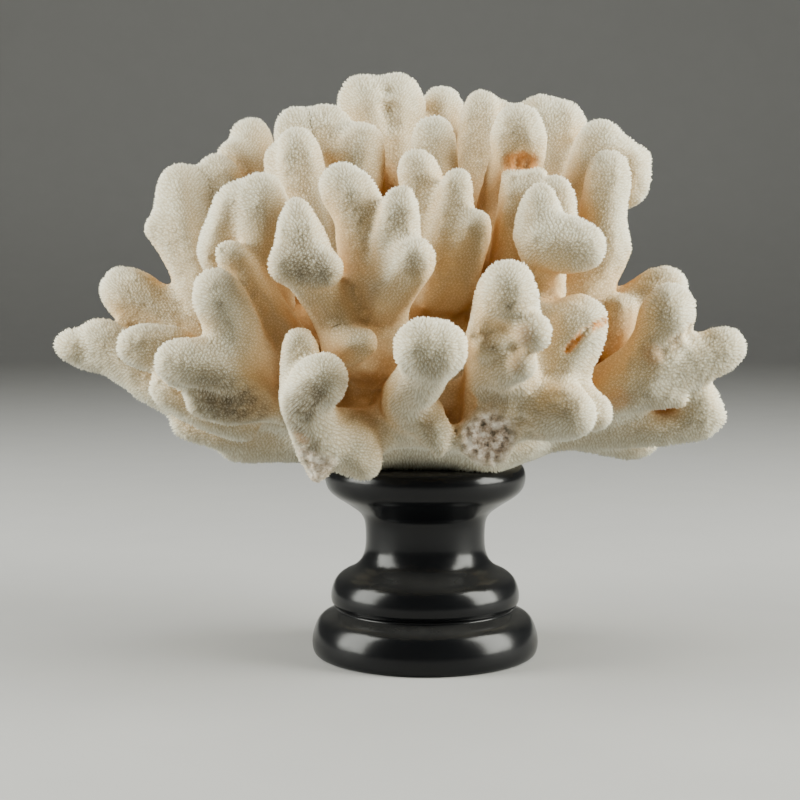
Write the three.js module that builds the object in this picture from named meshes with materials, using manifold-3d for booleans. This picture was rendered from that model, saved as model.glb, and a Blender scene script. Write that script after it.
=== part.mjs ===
// A dried finger coral standing on a turned, black-lacquered wooden stand.
//
// Millimetres, +Z up. The origin is the centre of the stand's foot, on the surface that it stands
// on, and the coral's fuller, knobbly front looks along -Y.
//
// The coral grew as one colony: a squat base with main branches that fork into blunt lobes. It is
// split at those main forks, so each branch is one solid with a hair's breadth of room round it.

import * as THREE from "three";
import { mergeVertices } from "three/addons/utils/BufferGeometryUtils.js";
import Module from "manifold-3d";

const wasm = await Module();
wasm.setup();

// Driving dimensions.
const STAND_HEIGHT = 67.5;
const FOOT_RADIUS = 39.7;
const RIM_RADIUS = 35.2;
const NECK_RADIUS = 21.2;
const BULB_RADIUS = 32.6;
const FORK_GAP = 0.3; // room between neighbouring solids
const STAND_SEGMENTS = 20;
const STAND_CURVE_STEPS = 2;
const LIMB_SIDES = 6;
const SLIM_LIMB_SIDES = 5;
const SLIM_LIMB_RADIUS = 7.7;
const DOME_TURN = 0.9; // radians round a lobe's end, from its widest ring to the ring before its pole

const coralFinish = new THREE.MeshStandardMaterial({ color: 0xe8dcc4, roughness: 0.9, metalness: 0 });
const standFinish = new THREE.MeshStandardMaterial({ color: 0x0b0c0e, roughness: 0.28, metalness: 0 });

// ---- solids ---------------------------------------------------------------------------------

function solidFrom(geometry) {
  const plain = geometry.clone();
  plain.deleteAttribute("normal");
  plain.deleteAttribute("uv");
  const merged = mergeVertices(plain, 1e-4);
  return new wasm.Manifold(
    new wasm.Mesh({
      numProp: 3,
      vertProperties: merged.attributes.position.array,
      triVerts: new Uint32Array(merged.index.array),
    }),
  );
}

function geometryFrom(solid) {
  const mesh = solid.getMesh();
  const geometry = new THREE.BufferGeometry();
  geometry.setAttribute("position", new THREE.BufferAttribute(mesh.vertProperties, 3));
  geometry.setIndex(new THREE.BufferAttribute(mesh.triVerts, 1));
  geometry.computeVertexNormals();
  return geometry;
}

function join(solids) {
  return solids.reduce((whole, next) => whole.add(next));
}

function largestBody(solid) {
  return solid.decompose().reduce((best, next) => (next.volume() > best.volume() ? next : best));
}

// ---- one lobe -------------------------------------------------------------------------------

// A limb runs through points [x, y, z, radius], from the middle of its round end to its root. It
// is a lathed, blunt-ended profile whose rings are then set square to the line through the points.
function limb(points, extra = 0) {
  const centres = points.map(([x, y, z]) => new THREE.Vector3(x, y, z));
  const radii = points.map(([, , , radius]) => radius + extra);
  const sides = points[0][3] < SLIM_LIMB_RADIUS ? SLIM_LIMB_SIDES : LIMB_SIDES;
  const tip = radii[0];

  // Stations: the round end's pole and its ring first, then a ring at each point.
  const stations = [
    { at: 0, ahead: tip, radius: 0 },
    { at: 0, ahead: tip * Math.sin(DOME_TURN), radius: tip * Math.cos(DOME_TURN) },
  ];
  radii.forEach((radius, at) => stations.push({ at, ahead: 0, radius }));
  stations.push({ at: radii.length - 1, ahead: 0, radius: 0 });

  const profile = stations.map(({ radius }, station) => new THREE.Vector2(radius, station));
  const geometry = new THREE.LatheGeometry(profile, sides);
  const frames = framesAlong(centres);
  const position = geometry.attributes.position;
  const vertex = new THREE.Vector3();
  for (let i = 0; i < position.count; i += 1) {
    vertex.fromBufferAttribute(position, i);
    const { at, ahead } = stations[Math.round(vertex.y)];
    const { along, across, up } = frames[at];
    const placed = centres[at].clone().addScaledVector(along, -ahead);
    placed.addScaledVector(across, vertex.x).addScaledVector(up, vertex.z);
    position.setXYZ(i, placed.x, placed.y, placed.z);
  }
  return solidFrom(geometry);
}

// A frame at each point of a line, carried along it without twisting.
function framesAlong(centres) {
  let across = new THREE.Vector3(0.31, 0.87, 0.38);
  return centres.map((_, i) => {
    const before = centres[Math.max(0, i - 1)];
    const after = centres[Math.min(centres.length - 1, i + 1)];
    const along = after.clone().sub(before).normalize();
    across = across.clone().addScaledVector(along, -across.dot(along)).normalize();
    return { along, across, up: across.clone().cross(along) };
  });
}

// ---- the stand ------------------------------------------------------------------------------

function stand() {
  const outline = new THREE.Path();
  outline.moveTo(0, 0);
  outline.lineTo(FOOT_RADIUS - 2.6, 0);
  outline.quadraticCurveTo(FOOT_RADIUS + 0.4, 0.6, FOOT_RADIUS, 5);
  outline.quadraticCurveTo(FOOT_RADIUS - 0.5, 11.5, FOOT_RADIUS - 3.6, 14.4);
  outline.lineTo(BULB_RADIUS + 0.4, 15.8);
  outline.lineTo(BULB_RADIUS - 2.2, 16.9);
  outline.quadraticCurveTo(BULB_RADIUS + 1.2, 18.6, BULB_RADIUS - 0.5, 23.4);
  outline.quadraticCurveTo(BULB_RADIUS - 2, 27.6, BULB_RADIUS - 6.6, 30.6);
  outline.quadraticCurveTo(NECK_RADIUS, 34, NECK_RADIUS, 43);
  outline.quadraticCurveTo(NECK_RADIUS, 50, NECK_RADIUS + 6.6, 54);
  outline.quadraticCurveTo(RIM_RADIUS, 58.6, RIM_RADIUS, 63);
  outline.quadraticCurveTo(RIM_RADIUS, STAND_HEIGHT - 0.2, RIM_RADIUS - 4.4, STAND_HEIGHT);
  outline.lineTo(0, STAND_HEIGHT);
  const profile = outline.getPoints(STAND_CURVE_STEPS);
  const turned = new THREE.LatheGeometry(profile, STAND_SEGMENTS);
  return turned.rotateX(Math.PI / 2); // the lathe's axis is Y, the stand's is Z
}

// ---- the coral ------------------------------------------------------------------------------

// The base spreads over the stand's top and carries every branch. It was cut off flat below.
const CUT_HEIGHT = STAND_HEIGHT + FORK_GAP;

function baseLimbs(extra = 0) {
  const spread = new THREE.SphereGeometry(1, 12, 6);
  spread.scale(52 + extra, 46 + extra, 24 + extra).translate(-1, -1, 86);
  const crown = new THREE.SphereGeometry(1, 10, 6);
  crown.scale(33 + extra, 32 + extra, 34 + extra).translate(0, 8, 106);
  return join([solidFrom(spread), solidFrom(crown)]);
}

// Each branch is a list of limbs, and each limb a list of [x, y, z, radius] from its end to its
// root. The first limb of a branch is its stem, and the others grow out of it.
const branches = {
  // Low branches that reach out to the left.
  branch_left_low: [
    [[-111, -8, 110, 8.3], [-87, -12, 94, 7.9], [-68, -12, 85, 7.5], [-40, -10, 80, 8.3]],
    [[-123, -5, 109, 5.2], [-116, -5, 107, 6.6], [-107, -8, 107, 7.6]],
    [[-83, -15, 82, 3.8], [-70, -15, 79, 4.6], [-44, -8, 77, 5.5]],
    [[-67, -10, 73, 3.1], [-56, -10, 73, 3.8], [-42, -5, 74, 4.9]],
  ],
  branch_left_front: [
    [[-94, -35, 110, 7.6], [-84, -33, 109, 8], [-60, -25, 93, 8.1], [-38, -18, 86, 8.8]],
    [[-84, -42, 96, 6.5], [-72, -42, 90, 6.5], [-58, -33, 85, 7]],
  ],
  branch_left_fingers: [
    [[-66, -58, 127, 8.2], [-59, -52, 108, 8.6], [-50, -42, 97, 9.1], [-34, -26, 89, 9.2]],
    [[-77, -62, 106, 8.2], [-67, -60, 104, 8.5], [-54, -48, 98, 9]],
    [[-72, -58, 93, 4.1], [-64, -56, 92, 5.1], [-50, -43, 94, 6.4]],
  ],
  branch_left_upper: [
    [[-105, 5, 127, 9.2], [-96, 5, 121, 9.5], [-66, -5, 97, 8.3], [-38, 0, 86, 9.8]],
  ],
  branch_left_inner: [
    [[-63, -45, 140, 4.9], [-45, -38, 109, 8.5], [-32, -22, 92, 9.4]],
  ],
  branch_left_tall: [
    [[-86, 8, 163, 8.4], [-84, 4, 147, 10.2], [-77, 0, 129, 9.2], [-63, 0, 109, 9.1], [-38, 0, 92, 9.8]],
    [[-91, 4, 149, 6.6], [-83, 4, 146, 8]],
  ],
  branch_left_crown: [
    [[-63, -30, 157, 7.5], [-69, -26, 141, 7.3], [-63, -20, 127, 7.8], [-52, -15, 112, 8.9], [-32, -8, 94, 9.6]],
    [[-54, -34, 158, 8], [-54, -34, 146, 7.4], [-52, -22, 122, 8.1]],
  ],

  // The front, where the lobes are shorter and thicker.
  branch_front_head: [
    [[-41, -60, 154, 4.1], [-40, -62, 147, 7.2], [-39, -64, 138, 8.8], [-34, -55, 128, 7], [-28, -48, 118, 8.4], [-18, -30, 102, 9.8]],
    [[-43, -66, 137, 6.5], [-38, -63, 138, 6.9]],
    [[-33, -67, 136, 6.5], [-38, -63, 137, 6.9]],
  ],
  branch_front_middle: [
    [[-26, -45, 161, 8.6], [-22, -46, 155, 8.1], [-20, -46, 134, 7.8], [-17, -42, 118, 10.4], [-12, -28, 96, 11.3]],
    [[-9, -57, 156, 5.4], [-9, -58, 149, 6.4], [-12, -53, 138, 6.2], [-16, -46, 127, 7.7]],
    [[-5, -66, 138, 7.4], [-16, -45, 122, 7.6]],
    [[-22, -60, 112, 6], [-29, -56, 110, 6.3], [-20, -40, 106, 8.4]],
  ],
  branch_front_knob: [
    [[-2, -91, 113, 8.5], [-1, -78, 105, 6.7], [-7, -58, 96, 7.8], [-7, -36, 86, 9.8]],
    [[3, -90, 112, 8.2], [-1, -80, 106, 6.5]],
    [[4, -56, 79, 3.5], [3, -58, 85, 5.6], [-4, -50, 91, 7]],
  ],
  branch_front_low: [
    [[-33, -80, 102, 8.2], [-38, -74, 95, 7.4], [-35, -64, 85, 8.1], [-24, -50, 82, 9], [-10, -28, 82, 10]],
    [[-40, -68, 112, 5.6], [-39, -64, 91, 6.9]],
    [[-22, -56, 76, 7.3], [-27, -56, 83, 8.3]],
    [[-35, -62, 74, 4.7], [-35, -62, 83, 6.3]],
  ],
  branch_front_right: [
    [[24, -76, 129, 9], [22, -66, 112, 9.5], [24, -50, 98, 12.5], [18, -30, 86, 12.5]],
    [[31, -78, 117, 5], [25, -72, 119, 6]],
    [[28, -76, 106, 4.2], [23, -68, 105, 6]],
    [[17, -73, 114, 6.2], [22, -62, 108, 7.5]],
  ],
  branch_front_stump: [
    [[19, -60, 82, 8.8], [18, -30, 82, 9.5]],
  ],
  branch_right_low: [
    [[47, -48, 117, 10.6], [41, -45, 106, 11.4], [35, -40, 97, 13], [22, -26, 88, 13]],
    [[36, -46, 118, 7.5], [36, -42, 104, 10]],
    [[45, -60, 90, 8], [32, -44, 92, 12]],
    [[53, -46, 90, 6.5], [42, -42, 94, 9]],
  ],

  // The right side.
  branch_right_head: [
    [[36, -46, 157, 5.8], [35, -49, 147, 8], [39, -38, 133, 5.8], [38, -32, 121, 8.6], [26, -20, 102, 10.7]],
    [[47, -53, 143, 8.6], [35, -49, 144.5, 8.8]],
    [[43, -24, 160, 6.4], [43, -26, 150, 6.7], [39, -36, 137, 6.7]],
  ],
  branch_right_wing: [
    [[80, -31, 121, 9], [77, -28, 110, 9], [71, -24, 99, 10.6], [58, -20, 92, 9.8], [36, -12, 84, 10.2]],
    [[99, -26, 109, 7.4], [76, -25, 101, 9.4]],
    [[80, -27, 94, 4.6], [70, -25, 97, 8]],
  ],
  branch_right_wing_low: [
    [[94, -18, 85, 7.3], [82, -18, 82, 5.6], [42, -10, 80, 6.9]],
    [[90, -20, 95, 6.2], [94, -18, 86, 7]],
    [[75, 1, 76, 7], [54, -8, 80, 7]],
  ],
  branch_right_wing_back: [
    [[82, -2, 128, 8.6], [72, 0, 119, 10], [58, 2, 102, 11], [36, 0, 90, 10.5]],
    [[67, -10, 120, 6], [62, -6, 106, 8.5]],
  ],
  branch_right_tall: [
    [[63, -2, 168, 7.8], [61, -4, 153, 6.9], [62, -4, 143, 9.2], [55, -5, 130, 9], [44, -6, 115, 9.8], [28, -4, 99, 11.1]],
  ],
  branch_right_outer: [
    [[62, 18, 179, 8.8], [54, 10, 146, 9.3], [43, 8, 121, 10.6], [24, 5, 100, 11.3]],
    [[72, 14, 164, 6.9], [74, 17, 173, 7.6], [63, 16, 176, 8.5]],
  ],
  branch_right_stub: [
    [[34, -12, 172, 7.6], [30, -18, 134, 9.2], [21, -16, 112, 10.8]],
  ],

  // The crown, whose lobes stand upright round the middle.
  branch_centre_fork: [
    [[-3, -18, 168, 7.1], [0, -18, 159, 7.5], [2, -17, 125, 10.2], [1, -10, 105, 11.7]],
    [[10, -28, 163, 5.3], [8, -28, 144, 8], [5, -21, 124, 10.1]],
    [[16, -34, 149, 5.6], [9, -25, 128, 8]],
  ],
  branch_centre: [
    [[3, 5, 180, 7.8], [4, 1, 118, 11.9]],
  ],
  branch_right_rise: [
    [[32, -3, 182, 9.6], [32, 0, 174, 8.6], [28, 11, 160, 8.4], [23, 4, 135, 10.5], [14, 0, 108, 11.8]],
  ],
  branch_right_crown: [
    [[43, 40, 190, 9], [46, 36, 179, 8.9], [46, 26, 157, 9.9], [38, 14, 128, 11.5], [22, 6, 104, 12]],
    [[51, 38, 188, 8.9], [51, 34, 175, 8.9], [47, 28, 159, 9.5]],
  ],
  branch_middle_left: [
    [[-44, -4, 176, 7.6], [-39, -8, 147, 9], [-30, -8, 125, 10.4], [-16, -4, 101, 11.8]],
    [[-52, 2, 174, 4.2], [-50, 0, 166, 4.9], [-42, -5, 156, 6.3]],
    [[-46, 14, 185, 7.2], [-44, 10, 174, 7.9], [-40, -4, 154, 8]],
  ],
  branch_middle_crown: [
    [[-35, 16, 183, 9.8], [-34, 13, 170, 9.8], [-20, 6, 125, 12], [-8, 3, 104, 12.7]],
    [[-23, 8, 177, 9], [-27, 8, 153, 9.8]],
  ],
  branch_crown_top: [
    [[-10, 45, 197, 10.2], [-9, 30, 161, 11], [-2, 10, 106, 13]],
    [[-22, 42, 196, 10.5], [-13, 31, 163, 11.1]],
  ],
  branch_crown_far: [
    [[21, 38, 193, 7.4], [17, 30, 157, 9.6], [6, 10, 106, 12]],
    [[28, 42, 191, 6.4], [20, 35, 177, 7.1]],
    [[7, 62, 196, 8.1], [7, 42, 157, 10.5], [8, 24, 132, 11]],
  ],
  branch_left_rise: [
    [[-73, 14, 168, 7.5], [-62, 8, 139, 9.2], [-48, 6, 118, 9.9], [-26, 2, 97, 11.2]],
  ],
  branch_left_back: [
    [[-64, 40, 183, 7.8], [-57, 27, 152, 9.5], [-45, 18, 128, 10.8], [-22, 8, 102, 12.1]],
    [[-69, 30, 175, 6.6], [-62, 31, 163, 7.3]],
  ],

  // The back.
  branch_back_left_high: [
    [[-52, 66, 168, 8], [-40, 44, 132, 10], [-22, 22, 104, 11]],
    [[-40, 78, 156, 8], [-38, 50, 132, 9]],
  ],
  branch_back_left: [
    [[-72, 62, 140, 8], [-52, 40, 114, 10], [-30, 22, 96, 11]],
    [[-82, 44, 132, 7], [-72, 44, 124, 8], [-58, 40, 116, 8.5]],
  ],
  branch_back_left_low: [
    [[-92, 48, 108, 8], [-60, 28, 93, 9], [-36, 16, 86, 10]],
    [[-84, 60, 94, 7], [-54, 32, 87, 8]],
  ],
  branch_back_low_left: [
    [[-60, 82, 98, 8], [-20, 26, 85, 11]],
    [[-44, 90, 114, 7.5], [-36, 54, 94, 9]],
  ],
  branch_back_crown: [
    [[-14, 74, 178, 8.5], [-10, 48, 140, 10.5], [-4, 24, 110, 12]],
    [[-28, 72, 166, 7.5], [-13, 52, 146, 9]],
  ],
  branch_back_centre: [
    [[-12, 94, 128, 9], [-3, 32, 95, 12]],
    [[-1, 90, 146, 8], [-7, 66, 117, 9.5]],
    [[-26, 88, 138, 7], [-10, 66, 116, 9]],
  ],
  branch_back_low: [
    [[8, 92, 92, 8.5], [0, 28, 84, 12]],
    [[-16, 88, 84, 7], [0, 58, 86, 9]],
  ],
  branch_back_right_high: [
    [[30, 72, 168, 8.5], [21, 46, 132, 10.5], [10, 22, 106, 12]],
    [[14, 82, 160, 7.5], [17, 70, 149, 8], [22, 52, 138, 9]],
  ],
  branch_back_right: [
    [[34, 88, 132, 8.5], [24, 54, 111, 10.5], [12, 28, 96, 12]],
    [[50, 74, 142, 8], [43, 64, 131, 8.5], [28, 54, 116, 9]],
  ],
  branch_back_right_mid: [
    [[55, 58, 136, 8], [44, 38, 112, 10], [26, 20, 97, 11]],
    [[66, 42, 122, 7], [46, 36, 113, 8.5]],
  ],
  branch_back_right_low: [
    [[82, 44, 104, 8], [54, 28, 92, 10], [32, 16, 86, 10]],
    [[72, 62, 92, 7.5], [50, 32, 88, 9]],
  ],
  branch_back_low_right: [
    [[46, 82, 96, 8.5], [14, 26, 85, 11]],
    [[60, 70, 110, 7.5], [50, 60, 102, 8], [32, 50, 92, 9]],
  ],
};

// Two branches ended in a break: the front stump's face looks along -Y, the right stub's upwards.
const breaks = {
  branch_front_stump: { size: [40, 40, 40], centre: [19, -77, 82] },
  branch_right_stub: { size: [40, 40, 40], centre: [34, -12, 188.5] },
};

// ---- the whole ------------------------------------------------------------------------------

function meshOf(name, geometry, material) {
  const mesh = new THREE.Mesh(geometry, material);
  mesh.name = name;
  return mesh;
}

function block({ size, centre }) {
  return solidFrom(new THREE.BoxGeometry(...size).translate(...centre));
}

const coral = new THREE.Group();
coral.add(meshOf("stand", stand(), standFinish));

// Everything below the flat cut, which the coral never reaches.
const below = block({ size: [400, 400, 60], centre: [0, 0, CUT_HEIGHT - 30] });

const base = baseLimbs().subtract(below);
coral.add(meshOf("coral_base", geometryFrom(base), coralFinish));

// A branch gives way to the base and to the branches before it, with the fork's gap between them.
let taken = baseLimbs(FORK_GAP);
for (const [name, limbs] of Object.entries(branches)) {
  const grown = join(limbs.map((points) => limb(points)));
  const whole = breaks[name] ? grown.subtract(block(breaks[name])) : grown;
  const branch = largestBody(whole.subtract(taken).subtract(below));
  coral.add(meshOf(name, geometryFrom(branch), coralFinish));
  taken = taken.add(join(limbs.map((points) => limb(points, FORK_GAP))));
}

export default coral;
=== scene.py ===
"""A dried finger coral on a turned, black-lacquered wooden stand.

The coral is one skeleton that grew, so its skin is made whole and then parted at the forks, one
piece for each solid of the frame. Metres, +Z up, and the coral's knobby front looks along -Y.
"""

import math

import bmesh
import bpy
import numpy as np
from mathutils import Matrix, Vector, noise
from mathutils.bvhtree import BVHTree
from mathutils.kdtree import KDTree


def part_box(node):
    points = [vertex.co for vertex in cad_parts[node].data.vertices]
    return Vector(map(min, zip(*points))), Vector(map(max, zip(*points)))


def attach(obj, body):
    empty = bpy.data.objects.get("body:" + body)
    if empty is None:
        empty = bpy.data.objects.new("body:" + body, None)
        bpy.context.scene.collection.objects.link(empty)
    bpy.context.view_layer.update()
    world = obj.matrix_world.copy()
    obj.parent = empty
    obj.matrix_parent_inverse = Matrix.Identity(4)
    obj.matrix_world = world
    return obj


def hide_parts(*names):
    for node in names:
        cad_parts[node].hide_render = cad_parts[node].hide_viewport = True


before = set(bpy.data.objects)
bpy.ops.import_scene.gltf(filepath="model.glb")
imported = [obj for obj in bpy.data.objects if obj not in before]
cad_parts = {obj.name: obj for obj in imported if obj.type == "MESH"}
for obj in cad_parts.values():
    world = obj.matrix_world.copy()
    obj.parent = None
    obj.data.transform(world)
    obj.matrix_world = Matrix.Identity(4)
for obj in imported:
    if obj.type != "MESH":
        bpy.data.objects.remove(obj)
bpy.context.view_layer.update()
mm = 0.001


# ---- The turned stand ------------------------------------------------------------------------
# One piece of close-grained wood turned on a lathe, with a foot, a bulb, a waist and a rim, then
# finished in black lacquer. The lathe's outline is drawn once and spun round the Z axis.

STAND_TURNS = 128
STAND_WELD = 0.01 * mm
STAND_CREASE = math.radians(50)  # a sharper bend than this is an edge
stand_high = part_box("stand")[1]
stand_top = stand_high.z
foot_radius = stand_high.x

# The outline from the foot's underside to the middle of the top, as bends between plain arcs:
# (radius, height) in millimetres, with how many steps round each bend.
STAND_OUTLINE = [
    (foot_radius / mm - 3.6, 0.0, 1),
    (foot_radius / mm - 0.4, 0.2, 8),
    (foot_radius / mm + 0.5, 4.6, 8),
    (foot_radius / mm - 0.6, 9.8, 8),
    (37.0, 13.6, 6),
    (33.4, 15.0, 4),
    (30.2, 16.4, 6),
    (33.4, 18.2, 6),
    (33.2, 23.6, 8),
    (30.6, 28.4, 8),
    (24.0, 31.2, 8),
    (21.2, 36.0, 8),
    (20.9, 43.0, 8),
    (21.6, 49.4, 8),
    (27.0, 53.4, 8),
    (34.0, 57.6, 8),
    (35.6, 62.4, 8),
    (34.6, stand_top / mm - 0.5, 6),
    (31.4, stand_top / mm, 4),
]


def rounded_outline(corners):
    """Runs through the middles of the outline's sides, bending round each corner."""
    points = [Vector((corners[0][0], 0, corners[0][1]))]
    for before, corner, after in zip(corners, corners[1:], corners[2:]):
        a, b, c = (Vector((p[0], 0, p[1])) for p in (before, corner, after))
        start, end = (a + b) / 2, (b + c) / 2
        for step in range(corner[2]):
            t = step / corner[2]
            points.append(start * (1 - t) ** 2 + b * 2 * t * (1 - t) + end * t**2)
    points.append(Vector((corners[-1][0], 0, corners[-1][1])))
    return points


def object_from(bm, name):
    """Puts a finished bmesh into the scene, where its points already are."""
    mesh = bpy.data.meshes.new(name)
    bm.to_mesh(mesh)
    bm.free()
    piece = bpy.data.objects.new(name, mesh)
    bpy.context.scene.collection.objects.link(piece)
    return piece


def turned(outline, turns, weld, name):
    """Spins an outline round the Z axis, as a lathe does."""
    bm = bmesh.new()
    rim = [bm.verts.new(point) for point in outline]
    for start, end in zip(rim, rim[1:]):
        bm.edges.new((start, end))
    bmesh.ops.spin(
        bm, geom=bm.verts[:] + bm.edges[:], cent=(0, 0, 0), axis=(0, 0, 1),
        angle=math.tau, steps=turns, use_merge=True,
    )
    bmesh.ops.remove_doubles(bm, verts=bm.verts, dist=weld)
    bmesh.ops.recalc_face_normals(bm, faces=bm.faces)
    for face in bm.faces:
        face.smooth = True
    return object_from(bm, name)


underside, top = Vector((0, 0, 0)), Vector((0, 0, stand_top / mm))
outline = [underside] + rounded_outline(STAND_OUTLINE) + [top]
stand = turned([point * mm for point in outline], STAND_TURNS, STAND_WELD, "turned_stand")
stand.data.set_sharp_from_angle(angle=STAND_CREASE)
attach(stand, "root")
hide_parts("stand")


class Finish:
    """A material under way. Most methods add one node and give back what the node puts out."""

    def __init__(self, name):
        self.material = bpy.data.materials.new(name)
        self.material.use_nodes = True
        self.tree = self.material.node_tree
        self.shader = self.tree.nodes["Principled BSDF"]
        self.place = self.node("ShaderNodeTexCoord").outputs["Object"]

    def node(self, kind, **settings):
        """A new node, with its inputs and its own settings filled in by name."""
        node = self.tree.nodes.new(kind)
        for key, value in settings.items():
            if key in node.inputs:
                node.inputs[key].default_value = value
            else:
                setattr(node, key, value)
        return node

    def feed(self, socket, term):
        """A socket takes a plain number or colour as it is, and a node's output as a link."""
        if isinstance(term, bpy.types.NodeSocket):
            self.tree.links.new(term, socket)
        elif isinstance(term, tuple):
            socket.default_value = (*term, 1)
        else:
            socket.default_value = term

    def surface(self, **terms):
        """Sets what the whole surface looks like, by the names of the shader's own sockets."""
        for name, term in terms.items():
            self.feed(self.shader.inputs[name.replace("_", " ")], term)

    def attribute(self, name):
        """A value that the piece's mesh carries at each point."""
        return self.node("ShaderNodeAttribute", attribute_name=name).outputs["Fac"]

    def noise(self, **settings):
        """A cloudy pattern that runs through the piece."""
        pattern = self.node("ShaderNodeTexNoise", **settings)
        self.feed(pattern.inputs["Vector"], self.place)
        return pattern.outputs["Fac"]

    def maths(self, operation, *terms, **settings):
        """Works out a value from numbers and from other nodes' values, in their order."""
        node = self.node("ShaderNodeMath", operation=operation, **settings)
        for socket, term in zip(node.inputs, terms):
            self.feed(socket, term)
        return node.outputs["Value"]

    def remap(self, value, least, most, low, high):
        """Stretches a value from one range to another, and holds it there."""
        node = self.node("ShaderNodeMapRange")
        for name, term in zip(
            ("Value", "From Min", "From Max", "To Min", "To Max"), (value, least, most, low, high)
        ):
            self.feed(node.inputs[name], term)
        return node.outputs["Result"]

    def mix(self, amount, under, over, blend_type="MIX"):
        """Lays one colour over another by an amount from 0 to 1."""
        node = self.node("ShaderNodeMix", data_type="RGBA", blend_type=blend_type)
        for name, term in (("Factor", amount), ("A", under), ("B", over)):
            self.feed(node.inputs[name], term)
        return node.outputs["Result"]

    def ramp(self, value, stops):
        """Colours a value by (position, colour) stops, lowest first."""
        node = self.node("ShaderNodeValToRGB")
        first, *between, last = stops
        for element, (position, colour) in zip(node.color_ramp.elements, (first, last)):
            element.position = position
            element.color = (*colour, 1)
        for position, colour in between:
            node.color_ramp.elements.new(position).color = (*colour, 1)
        self.feed(node.inputs["Fac"], value)
        return node.outputs["Color"]

    def bump(self, height, strength, under=None):
        """Fine relief, laid over another relief where one is given."""
        node = self.node("ShaderNodeBump", Strength=strength, Distance=0.2 * mm)
        self.feed(node.inputs["Height"], height)
        if under is not None:
            self.feed(node.inputs["Normal"], under)
        return node.outputs["Normal"]


# The lacquer is deep black with a soft gloss, a little dust where it faces up, and faint rings
# where the lathe's tool went round.
LACQUER = (0.0035, 0.0038, 0.0045)
DUST = (0.10, 0.098, 0.092)
FACING_UP = (0.55, 1.0)  # how much a place faces up where dust begins, and where it is thickest
MOST_DUST = 0.35
CLOUDING = (0.3, 0.75)
GLOSS = (0.18, 0.26)  # the roughness from its shiniest to its dullest patches
TOOL_MARKS = 0.018
ORANGE_PEEL = 0.06

lacquer = Finish("black_lacquer")
cloud = lacquer.noise(Scale=60.0, Detail=5.0, Roughness=0.6)
facing = lacquer.node("ShaderNodeSeparateXYZ")
lacquer.feed(facing.inputs["Vector"], lacquer.node("ShaderNodeNewGeometry").outputs["Normal"])
settled = lacquer.remap(facing.outputs["Z"], *FACING_UP, 0.0, MOST_DUST)
rings = lacquer.node(
    "ShaderNodeTexWave", wave_type="BANDS", bands_direction="Z", Scale=160.0, Distortion=1.5
)
lacquer.feed(rings.inputs["Vector"], lacquer.place)
tooled = lacquer.bump(rings.outputs["Fac"], TOOL_MARKS)
lacquer.surface(
    Base_Color=lacquer.mix(lacquer.maths("MULTIPLY", settled, cloud), LACQUER, DUST),
    Roughness=lacquer.remap(cloud, *CLOUDING, *GLOSS),
    Normal=lacquer.bump(lacquer.noise(Scale=900.0, Detail=2.0), ORANGE_PEEL, tooled),
    Specular_IOR_Level=0.25,
)
stand.data.materials.append(lacquer.material)


# ---- The coral's skeleton --------------------------------------------------------------------
# One lime skeleton that grew from a squat base into some forty forking branches of blunt lobes.
# The frame's solids are swollen until they meet, made one skin, and rounded, as it grew.

GRAIN = 1.41 * mm  # the skin's net; a grain stands in each of its meshes
WELD = 0.02 * mm
SWELL = 1.55 * mm
SHRINK_BACK = 0.7 * mm
TILT = Matrix.Rotation(0.6, 4, "X") @ Matrix.Rotation(0.9, 4, "Y")  # turns the net off the axes
ROUNDING = 26
LOOSENING = 0.42 * GRAIN
NET_EASING, LUMP_EASING = 4, 2
CUT_HEIGHT = stand_top + 0.1 * mm

branches = [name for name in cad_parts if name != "stand"]
rng = np.random.default_rng(11)


def merged_copy(node):
    """A closed copy of a frame solid, whose own mesh is loose triangles."""
    bm = bmesh.new()
    bm.from_mesh(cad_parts[node].data)
    bmesh.ops.remove_doubles(bm, verts=bm.verts, dist=WELD)
    bm.normal_update()
    return bm


colony = bmesh.new()
for branch in branches:
    bm = merged_copy(branch)
    for vert in bm.verts:
        vert.co += vert.normal * SWELL
    grown = bpy.data.meshes.new(branch + "_grown")
    bm.to_mesh(grown)
    bm.free()
    colony.from_mesh(grown)
bmesh.ops.transform(colony, matrix=TILT, verts=colony.verts)
rough_skin = object_from(colony, "rough_skin")
remesh = rough_skin.modifiers.new("one_skin", "REMESH")
remesh.mode = "VOXEL"
remesh.voxel_size = GRAIN
rounding = rough_skin.modifiers.new("rounding", "SMOOTH")
rounding.factor = 0.5
rounding.iterations = ROUNDING
bpy.context.view_layer.update()
skin = bpy.data.meshes.new_from_object(
    rough_skin.evaluated_get(bpy.context.evaluated_depsgraph_get())
)
skin.transform(TILT.inverted())
bpy.data.objects.remove(rough_skin)


def relax(bm, times):
    """Draws each point towards its neighbours, some times over."""
    for _ in range(times):
        bmesh.ops.smooth_vert(
            bm, verts=bm.verts, factor=0.5, use_axis_x=True, use_axis_y=True, use_axis_z=True
        )
    bm.normal_update()


# The net's rows are shaken loose, so that its meshes wander as a coral's cups do.
bm = bmesh.new()
bm.from_mesh(skin)
for vert, shake in zip(bm.verts, rng.uniform(-1, 1, (len(bm.verts), 3)) * LOOSENING):
    vert.co += Vector(shake)
bmesh.ops.triangulate(bm, faces=bm.faces, quad_method="SHORT_EDGE")
relax(bm, NET_EASING)

# The lobes are a little lumpy: how wide the lumps are and how high, in millimetres.
BROAD_WIDTH, BROAD_HEIGHT = 15, 0.7
SMALL_WIDTH, SMALL_HEIGHT = 6, 0.16
PLUMPNESS = 0.55
for vert in bm.verts:
    broad = noise.noise(vert.co / (BROAD_WIDTH * mm))
    small = noise.noise(vert.co / (SMALL_WIDTH * mm) + Vector((7, 3, 5)))
    lump = (PLUMPNESS + BROAD_HEIGHT * broad + SMALL_HEIGHT * small) * mm
    vert.co += vert.normal * (lump - SHRINK_BACK)
relax(bm, LUMP_EASING)


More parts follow.
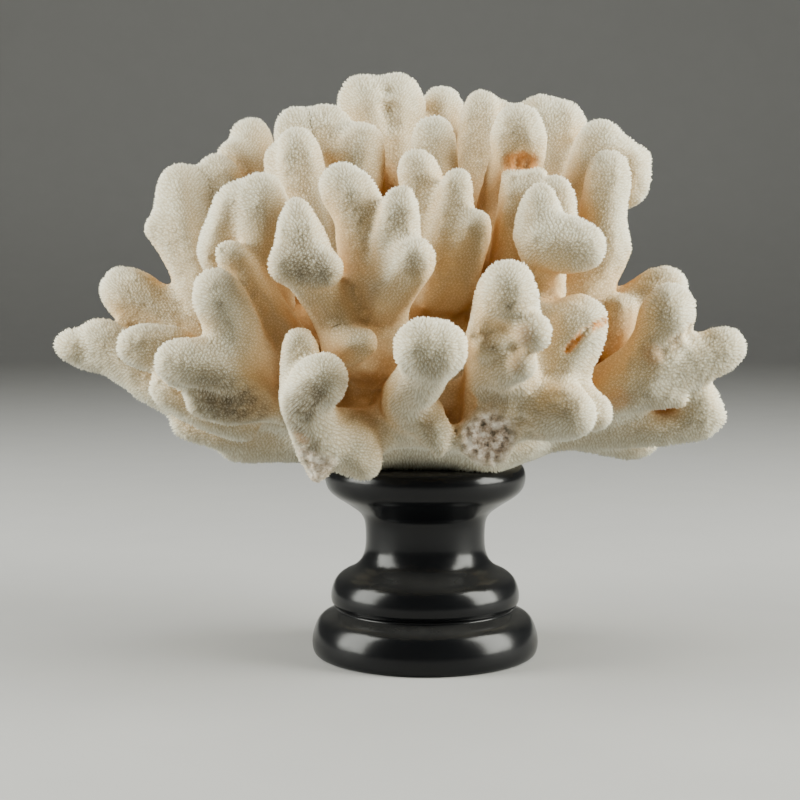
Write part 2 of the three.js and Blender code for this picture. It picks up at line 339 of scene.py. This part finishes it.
def by_place(bm):
    """A search tree that finds the skin's points near a place."""
    tree = KDTree(len(bm.verts))
    for index, vert in enumerate(bm.verts):
        tree.insert(vert.co, index)
    tree.balance()
    bm.verts.ensure_lookup_table()
    return tree


def along_path(path, step=0.8):
    """Places in steps along a path through the given ones."""
    places = []
    for start, end in zip(path, path[1:]):
        start, end = Vector(start), Vector(end)
        count = max(1, round((end - start).length / step))
        places += [start.lerp(end, index / count) for index in range(count)]
    return places + [Vector(path[-1])]


# Local growth and wear, in millimetres: a place, how far round it, and how far out or in.
CRACK = [
    (44.1, -56.1, 110.1), (45.9, -56.9, 112.4), (47.8, -56.9, 114.3), (49.9, -57.9, 116.2),
    (51.9, -56.7, 117.4), (54.5, -53.8, 118.6), (57.1, -50.6, 119.1),
]
MOULDING = [
    (15.5, -78.2, 115.5, 6.0, -2.4),  # the neck under the right head's knob
    (20.5, -78.4, 116.0, 6.5, -3.0),
    (24.5, -80.0, 117.6, 4.5, -1.8),
    (23.2, -84.5, 128.1, 12.0, 0.8),
    (31.0, -82.5, 116.4, 8.5, 3.0),  # a lump with a hollow end below it
    (28.6, -86.0, 116.0, 4.4, -3.4),
    (15.4, -78.9, 110.5, 6.0, 1.4),
    (27.0, -80.5, 111.6, 4.0, -2.2),
    (28.0, -81.2, 107.4, 6.5, 3.0),  # a smaller lump below that
    (25.6, -84.0, 107.2, 3.4, -2.4),
    (19.5, -62.0, 94.0, 8.0, -3.0),  # the shade above the broken stump
    (27.0, -64.0, 93.0, 7.0, -2.4),
    (-13.3, 34.7, 200.9, 5.0, -1.6),  # the groove down the crown's highest lobe
    (-13.3, 31.4, 193.4, 5.0, -1.8),
    (-12.5, 29.1, 187.8, 5.0, -1.2),
    (-77.7, -65.1, 98.2, 4.5, -1.8),  # the fold between the left fingers
    (-73.1, -65.4, 97.0, 4.5, -2.2),
    (-68.4, -65.2, 96.0, 4.5, -2.2),
    (-63.9, -63.2, 95.0, 4.5, -1.6),
    (-122.4, -10.9, 108.6, 7.0, 1.6),  # the far left knob
    (78.1, -37.8, 109.2, 5.0, -2.4),  # the fold under the right wing's knob
    (82.4, -37.6, 111.5, 5.0, -2.6),
    (87.0, -33.2, 114.6, 4.5, -2.0),
    (78.4, -39.2, 120.5, 10.0, 1.6),
    (85.0, -26.8, 91.2, 4.0, 1.8),
    (-30.5, -84.5, 92.5, 6.0, -1.8),  # under the low front knob
    (29.5, -8.5, 171.6, 4.2, -1.8),  # the broken hollow above the right stub's flat top
    (33.0, -9.0, 171.8, 4.8, -2.4),
    (37.0, -8.0, 171.6, 4.2, -1.8),
    (32.0, -18.0, 168.5, 9.0, -1.8),
    (-37.2, -65.2, 72.9, 6.0, -0.8),  # the chipped foot of the low front branch
]
MOULDING += [(*place, 1.8, -0.9) for place in along_path(CRACK)]

# The broken stump faces the front. A groove round it sets it off, and its rim is raised: each is
# a ring of marks, with its radius, how far forward it lies, its reach, and its depth or rise.
STUMP_ACROSS, STUMP_HEIGHT, STUMP_STEPS = 19.1, 82.2, 12
STUMP_RINGS = ((13.0, -56.0, 5.0, -2.3), (8.4, -57.5, 3.4, 1.2))
for step in range(STUMP_STEPS):
    turn = math.tau * step / STUMP_STEPS
    for radius, forward, reach, rise in STUMP_RINGS:
        place = (STUMP_ACROSS + radius * math.cos(turn), forward, STUMP_HEIGHT + radius * math.sin(turn))
        MOULDING.append((*place, reach, rise))

# The base's front stands clear of the stand's rim, so the skin is lifted there.
LIFTED = [(-12.0, -34.0, 68.5, 20.0, 5.5), (4.0, -34.0, 68.5, 20.0, 5.5)]


def marked_points(bm, near, marks):
    """Each point within reach of a mark, how far off it is in reaches, and the mark's strength."""
    for x, y, z, reach, strength in marks:
        for _, index, away in near.find_range(Vector((x, y, z)) * mm, reach * mm):
            yield bm.verts[index], away / (reach * mm), strength


def eased(away):
    """1 in the middle of a mark, easing to 0 at its edge, which is one reach off."""
    return (1 - away**2) ** 2


for vert, away, rise in marked_points(bm, by_place(bm), LIFTED):
    vert.co.z += rise * mm * eased(away)
bm.normal_update()
for vert, away, rise in marked_points(bm, by_place(bm), MOULDING):
    vert.co += vert.normal * rise * mm * eased(away)
bm.normal_update()

# It was cut off flat where it grew, and it rests on the cut.
bmesh.ops.bisect_plane(
    bm, geom=bm.verts[:] + bm.edges[:] + bm.faces[:], dist=WELD,
    plane_co=(0, 0, CUT_HEIGHT), plane_no=(0, 0, -1), clear_outer=True,
)
bm.normal_update()

# How open each place is to the air round it, from how many of a spread of rays get away. The
# spread is one ray straight out and two rings of rays, each with its lean and its count.
REACH = 50 * mm
RAY_RINGS = ((0.55, 4), (1.05, 5))
RAY_START = 0.6 * mm
BLOCKED = 0.75  # how much a ray counts that is stopped just inside the reach
OPENNESS_EASING = 3

spread = [Vector((0, 0, 1))]
for lean, count in RAY_RINGS:
    for step in range(count):
        turn = math.tau * (step + lean) / count
        aside = math.sin(lean)
        spread.append(Vector((aside * math.cos(turn), aside * math.sin(turn), math.cos(lean))))
surface = BVHTree.FromBMesh(bm)
openness = bm.verts.layers.float.new("openness")
for vert in bm.verts:
    outward = vert.normal.to_track_quat("Z", "Y")
    start = vert.co + vert.normal * RAY_START
    free = 0.0
    for ray in spread:
        distance = surface.ray_cast(start, outward @ ray, REACH)[3]
        free += 1.0 if distance is None else BLOCKED * distance / REACH
    vert[openness] = free / len(spread)
for _ in range(OPENNESS_EASING):
    levels = [
        sum(edge.other_vert(vert)[openness] for edge in vert.link_edges) / len(vert.link_edges)
        for vert in bm.verts
    ]
    for vert, level in zip(bm.verts, levels):
        vert[openness] = (vert[openness] + level) / 2

# Places where it is dirty, stained, darkened with painted shade or broken, in millimetres: a place,
# how far round it, and how strongly. A broken place has no grains, and shows the lime's crystals.
SOIL_AND_SHADE_MARKS = [
    (-35.4, -85.9, 95.9, 8, 0.75),  # painted shade under the low front knob and down its stem
    (-39.8, -82.2, 93.2, 8, 0.75),
    (-33.5, -87.6, 98.5, 6, 0.4),
    (-42.2, -74.1, 87.9, 6, 0.8),
    (-38.4, -71.2, 81.4, 6, 0.6),
    (-66.5, -66.5, 97.0, 10, 0.6),  # painted shade between the left fingers
    (-59.5, -59.7, 92.9, 9, 0.8),
    (-68.0, -62.7, 93.5, 8, 0.7),
    (-55.2, -54.7, 89.3, 8, 0.6),
    (-64.9, -66.2, 124.6, 1.5, 1.0),  # small dark specks
    (23.9, -84.8, 124.4, 1.5, 1.0),
    (11.5, -57.3, 80.2, 1.5, 0.8),
    (-36.5, -72.4, 134.8, 9, 0.6),  # painted shade under the front head and the knobs beside it
    (-41.5, -71.5, 139.5, 8, 0.4),
    (-8.9, -63.2, 152.6, 5, 0.3),
    (-4.3, -73.2, 137.0, 5, 0.35),
    (0.5, -97.1, 105.9, 6, 0.35),
    (71.2, -32.4, 91.3, 7, 0.3),  # painted shade on the right wing, in the hollow lump and above the stump
    (28.6, -84.0, 116.0, 3.4, 0.4),
    (19.5, -60.5, 95.5, 6.0, 0.4),
]
STAIN_AND_SHADE_MARKS = [
    (28.6, -84.0, 116.0, 4.0, 0.22),  # painted shade in the two hollow lumps
    (25.6, -82.5, 107.0, 3.4, 0.22),
    (29.5, -8.5, 171.4, 4.6, 0.8),  # the broken hollow above the right stub
    (33.0, -8.8, 171.6, 5.0, 0.9),
    (37.0, -8.0, 171.4, 4.6, 0.8),
    (-39.5, -73.0, 83.5, 3.5, 0.3),  # painted shade in the folds of the front and of the right wing
    (63.5, -32.5, 92.7, 5.0, 0.3),
    (74.7, -36.2, 107.8, 4.5, 0.3),
    (82.4, -37.0, 111.5, 4.0, 0.25),
    (-0.5, -66.0, 88.5, 5.0, 0.3),
]
STAIN_AND_SHADE_MARKS += [(*place, 1.7, 1.0) for place in along_path(CRACK)]
BROKEN = [
    (STUMP_ACROSS, -57.4, STUMP_HEIGHT, 11.0, 1.0),
    (-34.6, -65.6, 72.5, 8.0, 0.8),  # the chipped foot of the low front branch
    (-38.5, -68.5, 76.5, 6.0, 0.7),
]
EDGE_GAIN = 2.2  # how quickly a mark comes to its full strength inside its edge
CRYSTAL_WIDTH, CRYSTAL_HEIGHT = 2.6, 1.8
BARELY_BROKEN = 0.05

near = by_place(bm)
for name, marks in (("soil_and_shade", SOIL_AND_SHADE_MARKS), ("stain_and_shade", STAIN_AND_SHADE_MARKS), ("breakage", BROKEN)):
    layer = bm.verts.layers.float.new(name)
    for vert, away, strength in marked_points(bm, near, marks):
        vert[layer] = max(vert[layer], strength * min(1.0, EDGE_GAIN * (1 - away)))
breakage = bm.verts.layers.float["breakage"]
for vert in bm.verts:
    if vert[breakage] > BARELY_BROKEN and vert.co.z > CUT_HEIGHT + mm:
        facet = noise.noise(vert.co / (CRYSTAL_WIDTH * mm))
        vert.co += vert.normal * facet * vert[breakage] * CRYSTAL_HEIGHT * mm

# Each face belongs to the nearest solid of the frame. Stray faces then go over to the solid that
# most of their neighbours belong to, which makes the forks' seams plain.
SEAM_EASING = 3
whole = bmesh.new()
owners = []
for index, branch in enumerate(branches):
    whole.from_mesh(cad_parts[branch].data)
    owners += [index] * (len(whole.faces) - len(owners))
nearest = BVHTree.FromBMesh(whole)
whole.free()
for face in bm.faces:
    face.material_index = owners[nearest.find_nearest(face.calc_center_median())[2]]
for _ in range(SEAM_EASING):
    for face in bm.faces:
        beside = [
            other.material_index
            for edge in face.edges
            for other in edge.link_faces
            if other is not face
        ]
        if beside.count(face.material_index) < 2:
            face.material_index = max(beside, key=beside.count)
owner = bm.faces.layers.int.new("owner")
for face in bm.faces:
    face[owner] = face.material_index

# The skin is parted by material slot, so it has an empty slot for each branch.
skin_object = object_from(bm, "coral_skin")
for branch in branches:
    skin_object.data.materials.append(None)
bpy.ops.object.select_all(action="DESELECT")
bpy.context.view_layer.objects.active = skin_object
skin_object.select_set(True)
bpy.ops.object.mode_set(mode="EDIT")
bpy.ops.mesh.separate(type="MATERIAL")
bpy.ops.object.mode_set(mode="OBJECT")

# The skeleton is chalky lime: whitish where the lobes' ends stand in the open, and cream to
# orange-brown towards the recesses, with painted shade and soil between the grains. The whiter
# ends are partly real bleaching; the darker, deeper orange recesses are painted shade and painted
# bounced light.
TONES_AND_PAINTED_SHADE = [
    (0.22, (0.43, 0.205, 0.056)),
    (0.42, (0.68, 0.42, 0.175)),
    (0.62, (0.88, 0.69, 0.42)),
    (0.80, (0.94, 0.85, 0.635)),
    (0.98, (0.93, 0.93, 0.78)),
]
BLOTCHING = 0.24
TONE_SCALE = 0.86
CUP_SHADE = (0.52, 0.43, 0.31)

skeleton = Finish("coral_skeleton")
blotches = skeleton.noise(Scale=45.0, Detail=4.0, Roughness=0.55)
mottled = skeleton.maths("MULTIPLY_ADD", blotches, BLOTCHING, skeleton.attribute("openness"))
# The tone follows openness, so its darker, browner end is painted shade in the recesses.
tone_and_painted_shade = skeleton.ramp(skeleton.maths("MULTIPLY", mottled, TONE_SCALE), TONES_AND_PAINTED_SHADE)
hollow = skeleton.maths("SUBTRACT", 1.0, skeleton.attribute("crest"))
cupped = skeleton.mix(hollow, tone_and_painted_shade, CUP_SHADE, blend_type="MULTIPLY")

# The soil mark, soil with painted shade under the knobs and between the fingers, lies in patches
# and is darkest between the grains.
SOIL_AND_SHADE = (0.13, 0.095, 0.055)
SOIL_AND_SHADE_PATCHES = (0.35, 0.6)
THINNEST_SOIL_AND_SHADE = 0.45
SOIL_AND_SHADE_ON_GRAINS, SOIL_AND_SHADE_BETWEEN = 0.5, 0.6
# The stain colour is orange-brown: painted shade in the hollow lumps and the folds, and stain at the
# broken hollow and along the crack.
STAIN_AND_SHADE = (0.55, 0.22, 0.04)
patches = skeleton.noise(Scale=420.0, Detail=3.0, Roughness=0.7)
clinging = skeleton.remap(patches, *SOIL_AND_SHADE_PATCHES, THINNEST_SOIL_AND_SHADE, 1.0)
caught = skeleton.maths("MULTIPLY", skeleton.attribute("soil_and_shade"), clinging)
deepest = skeleton.maths("MULTIPLY_ADD", hollow, SOIL_AND_SHADE_BETWEEN, SOIL_AND_SHADE_ON_GRAINS)
between = skeleton.maths("MULTIPLY", caught, deepest, use_clamp=True)
soiled_and_shaded = skeleton.mix(between, cupped, SOIL_AND_SHADE)
stained_and_shaded = skeleton.mix(skeleton.attribute("stain_and_shade"), soiled_and_shaded, STAIN_AND_SHADE)

# Broken lime is crystals, white and grey with a little pink.
CRYSTALS = [
    (0.36, (0.085, 0.068, 0.048)),
    (0.48, (0.44, 0.34, 0.25)),
    (0.62, (0.86, 0.80, 0.69)),
]
GRIT = 0.35
crystals = skeleton.ramp(skeleton.noise(Scale=330.0, Detail=6.0, Roughness=0.72), CRYSTALS)
skeleton.surface(
    Base_Color=skeleton.mix(skeleton.attribute("breakage"), stained_and_shaded, crystals),
    Roughness=0.85,
    Specular_IOR_Level=0.25,
    Normal=skeleton.bump(skeleton.noise(Scale=2600.0, Detail=2.0), GRIT),
)

# The grains: a blunt spine in each mesh of the net, low in the recesses and tall on the ends.
# `crest` is how high a place stands among the grains: 1 is a grain's tip, and 0 a deep cup.
LOW_SPINE, TALL_SPINE = 0.12 * mm, 1.1 * mm
SPINE_SLOPE = 1.5
SHELTERED = 0.3  # where it is no more open than this, the spines stay low
SHORTEST, VARIETY = 0.6, 0.8
WORN_OFF = 0.8
LEAN = 0.5
LOWEST_CREST, CREST_VARIETY = 0.55, 0.45
SMOOTH_CREST, SMOOTH_FROM, SMOOTH_FADE = 0.42, 0.35, 0.4  # cups are shallow in the recesses
SPINES_FROM = CUT_HEIGHT + 0.3 * mm
LIP = 1.2 * mm


def grow_spines(bm):
    """Draws each face above the cut out to a spine, and marks how high each point stands."""
    layers = bm.verts.layers.float
    marks = [layers[name] for name in ("openness", "breakage", "soil_and_shade", "stain_and_shade")]
    openness, breakage = marks[:2]
    crest = layers.new("crest")
    for vert in bm.verts:
        depth = min(1.0, max(0.0, (vert[openness] - SMOOTH_FROM) / SMOOTH_FADE))
        vert[crest] = SMOOTH_CREST * (1 - depth)
    outer = [face for face in bm.faces if face.calc_center_median().z > SPINES_FROM]
    spines = bmesh.ops.poke(bm, faces=outer, offset=0, center_mode="MEAN")["verts"]
    bm.normal_update()
    for spine, (along, across, luck) in zip(spines, rng.uniform(0, 1, (len(spines), 3))):
        feet = [edge.other_vert(spine) for edge in spine.link_edges]
        for layer in marks:
            spine[layer] = sum(foot[layer] for foot in feet) / 3
        spine[crest] = LOWEST_CREST + CREST_VARIETY * luck
        growth = (max(0.0, spine[openness] - SHELTERED) / (1 - SHELTERED)) ** SPINE_SLOPE
        height = LOW_SPINE + (TALL_SPINE - LOW_SPINE) * growth
        height *= (SHORTEST + VARIETY * luck) * (1 - WORN_OFF * spine[breakage])
        lean = (feet[0].co - spine.co) * (along - 0.5) * LEAN
        lean += (feet[1].co - spine.co) * (across - 0.5) * LEAN
        spine.co += spine.normal * height + lean


def close_at_forks(bm):
    """Turns a lip inwards along the seams, and fills the end, so that the piece is closed."""
    fork = [edge for edge in bm.edges if edge.is_boundary]
    for edge in fork:
        edge.smooth = False
    outward = {vert: vert.normal.copy() for edge in fork for vert in edge.verts}
    lip = bmesh.ops.extrude_edge_only(bm, edges=fork)["geom"]
    for vert in lip:
        if isinstance(vert, bmesh.types.BMVert):
            above = next(
                edge.other_vert(vert) for edge in vert.link_edges if edge.other_vert(vert) in outward
            )
            vert.co -= outward[above] * LIP
    open_edges = [item for item in lip if isinstance(item, bmesh.types.BMEdge) and item.is_boundary]
    bmesh.ops.holes_fill(bm, edges=open_edges, sides=0)


for piece in bpy.context.selected_objects[:]:
    mesh = piece.data
    branch = branches[mesh.attributes["owner"].data[0].value]
    bm = bmesh.new()
    bm.from_mesh(mesh)
    grow_spines(bm)
    close_at_forks(bm)
    for face in bm.faces:
        face.material_index = 0
        face.smooth = True
    bm.faces.layers.int.remove(bm.faces.layers.int["owner"])
    bm.to_mesh(mesh)
    bm.free()
    mesh.materials.clear()
    mesh.materials.append(skeleton.material)
    piece.name = "grown_base" if branch == "coral_base" else branch.replace("branch", "lobes")
    mesh.name = piece.name
    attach(piece, "root")
    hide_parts(branch)
    piece.select_set(False)


# ---- Floor, light and camera -----------------------------------------------------------------
# A plain pale floor that curves up all round, two large soft lights at the sides and a weak one
# above, and a long lens that looks at the front from a little above.

FLOOR_OUTLINE = [
    (0, 0), (1.9, 0), (2.2, 0.04), (2.45, 0.15), (2.62, 0.32), (2.7, 0.6), (2.7, 2.4),
]
FLOOR_TURNS = 96
FLOOR_COLOURS = ((0.36, 0.358, 0.353), (0.385, 0.383, 0.378))
floor_edge = [(radius, 0, height) for radius, height in FLOOR_OUTLINE]
floor = turned(floor_edge, FLOOR_TURNS, mm, "floor")
pale = Finish("pale_floor")
pale.surface(
    Base_Color=pale.mix(pale.noise(Scale=30.0, Detail=3.0), *FLOOR_COLOURS),
    Roughness=0.7,
)
floor.data.materials.append(pale.material)

world = bpy.data.worlds.new("studio")
bpy.context.scene.world = world
world.use_nodes = True
background = world.node_tree.nodes["Background"]
background.inputs["Color"].default_value = (1.0, 0.98, 0.95, 1)
background.inputs["Strength"].default_value = 0.05

LIGHT_AIM = (0, 0, 0.12)
SIDE_SIZE, TOP_SIZE = (0.6, 0.85), (0.8, 0.8)


def soft_light(name, place, size, power, colour):
    light = bpy.data.lights.new(name, "AREA")
    light.shape = "RECTANGLE"
    light.size, light.size_y = size
    light.energy = power
    light.color = colour
    lamp = bpy.data.objects.new(name, light)
    bpy.context.scene.collection.objects.link(lamp)
    lamp.location = place
    lamp.rotation_euler = (Vector(LIGHT_AIM) - Vector(place)).to_track_quat("-Z", "Y").to_euler()


soft_light("left_softbox", (-0.9, -0.14, 0.5), SIDE_SIZE, 26, (0.985, 1.0, 0.93))
soft_light("right_softbox", (0.9, -0.17, 0.5), SIDE_SIZE, 33, (0.99, 1.0, 0.92))
soft_light("overhead", (0, 0.25, 1.15), TOP_SIZE, 6, (0.99, 1.0, 0.95))

CAMERA_PLACE = (-0.0089, -0.6, 0.137)
LOOKING_DOWN = math.radians(4.5)
camera = bpy.data.cameras.new("camera")
camera.sensor_width = 36
camera.lens = 77.1
view = bpy.data.objects.new("camera", camera)
bpy.context.scene.collection.objects.link(view)
view.location = CAMERA_PLACE
view.rotation_euler = (math.radians(90) - LOOKING_DOWN, 0, 0)
bpy.context.scene.camera = view
